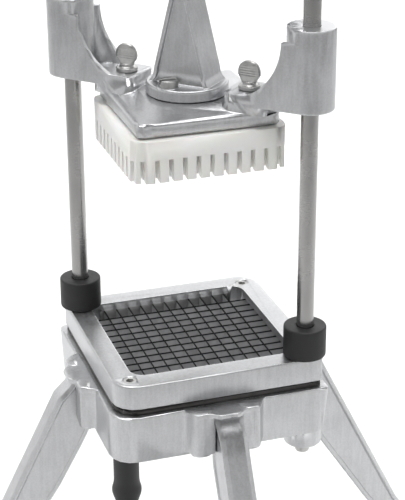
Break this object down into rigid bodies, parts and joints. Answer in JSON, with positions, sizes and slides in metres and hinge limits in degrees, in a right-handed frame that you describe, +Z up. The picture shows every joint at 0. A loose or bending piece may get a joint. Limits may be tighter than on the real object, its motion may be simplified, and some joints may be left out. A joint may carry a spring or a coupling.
{
  "type": "french fry cutter",
  "caption": "Hand-lever vegetable cutter: a lever drives a fingered pusher block down guide rods through a square blade grid on a base with splayed legs and suction feet.",
  "frame": {"origin": "on the surface that the feet stand on, under the centre of the square base", "axes": "+X to the right along the front side of the base, +Y from the front leg to the back leg, +Z up; the lever's handle rises over the front left corner, half way between -X and -Y"},
  "size_m": [0.428, 0.428, 0.7552],
  "materials": {
    "cast_aluminium": "satin cast, machined edges",
    "polished_steel": "ground and polished",
    "plated_steel": "bright zinc plate",
    "blade_steel": "dark satin",
    "black_rubber": "matt moulded",
    "white_nylon": "moulded, slightly glossy",
    "bronze": "turned"
  },
  "bodies": {
    "base": {"base_body": "cast_aluminium", "clamp_ring": "cast_aluminium", "leg_front": "cast_aluminium", "leg_right": "cast_aluminium", "leg_back": "cast_aluminium", "leg_left": "cast_aluminium", "top_yoke": "cast_aluminium", "guide_rod_left": "polished_steel", "guide_rod_right": "polished_steel", "rod_nut_left": "polished_steel", "rod_nut_right": "polished_steel", "fulcrum_pin": "polished_steel", "ring_screw_front": "plated_steel", "ring_screw_back": "plated_steel", "leg_screw_front": "plated_steel", "leg_screw_right": "plated_steel", "leg_screw_back": "plated_steel", "leg_screw_left": "plated_steel", "rod_screw_left": "plated_steel", "rod_screw_right": "plated_steel", "rod_washer_left": "plated_steel", "rod_washer_right": "plated_steel", "rod_screw_washer_left": "plated_steel", "rod_screw_washer_right": "plated_steel", "fulcrum_pin_washer_left": "plated_steel", "fulcrum_pin_washer_right": "plated_steel", "fulcrum_pin_clip": "plated_steel", "blade_frame": "blade_steel", "blade_grid": "blade_steel", "suction_foot_front": "black_rubber", "suction_foot_right": "black_rubber", "suction_foot_back": "black_rubber", "suction_foot_left": "black_rubber", "stop_bumper_left": "black_rubber", "stop_bumper_right": "black_rubber"},
    "head": {"head_casting": "cast_aluminium", "tower": "cast_aluminium", "lever_pin": "polished_steel", "tower_bolt_front": "plated_steel", "tower_bolt_back": "plated_steel", "lever_pin_washer_left": "plated_steel", "lever_pin_washer_right": "plated_steel", "lever_pin_clip": "plated_steel", "pusher_block": "white_nylon", "guide_bush_left": "bronze", "guide_bush_right": "bronze", "block_insert_left": "bronze", "block_insert_right": "bronze"},
    "lever": {"lever_plate_left": "cast_aluminium", "lever_plate_right": "cast_aluminium", "handle_bar": "polished_steel", "handle_bolt_rear": "plated_steel", "handle_bolt_front": "plated_steel", "handle_nut_rear": "plated_steel", "handle_nut_front": "plated_steel", "handle_grip": "black_rubber"},
    "thumb_left": {"thumb_screw_left": "plated_steel"},
    "thumb_right": {"thumb_screw_right": "plated_steel"}
  },
  "joints": [
    {"name": "head_slide", "type": "slide", "parent": "base", "child": "head", "axis": [0, 0, 1], "range_m": [-0.159, 0.008]},
    {"name": "lever_swing", "type": "hinge", "parent": "base", "child": "lever", "pos_m": [0.09546, 0.09546, 0.52005], "axis": [-0.7071, 0.7071, 0], "range_deg": [-61.6, 3.19]},
    {"name": "thumb_turn_left", "type": "hinge", "parent": "head", "child": "thumb_left", "pos_m": [-0.03324, 0.03324, 0.47], "axis": [0, 0, 1], "continuous": true},
    {"name": "thumb_turn_right", "type": "hinge", "parent": "head", "child": "thumb_right", "pos_m": [0.03324, -0.03324, 0.47], "axis": [0, 0, 1], "continuous": true}
  ],
  "couplings": [
    {"joint": "lever_swing", "follows": "head_slide", "rad_per_m": 6.7503}
  ]
}
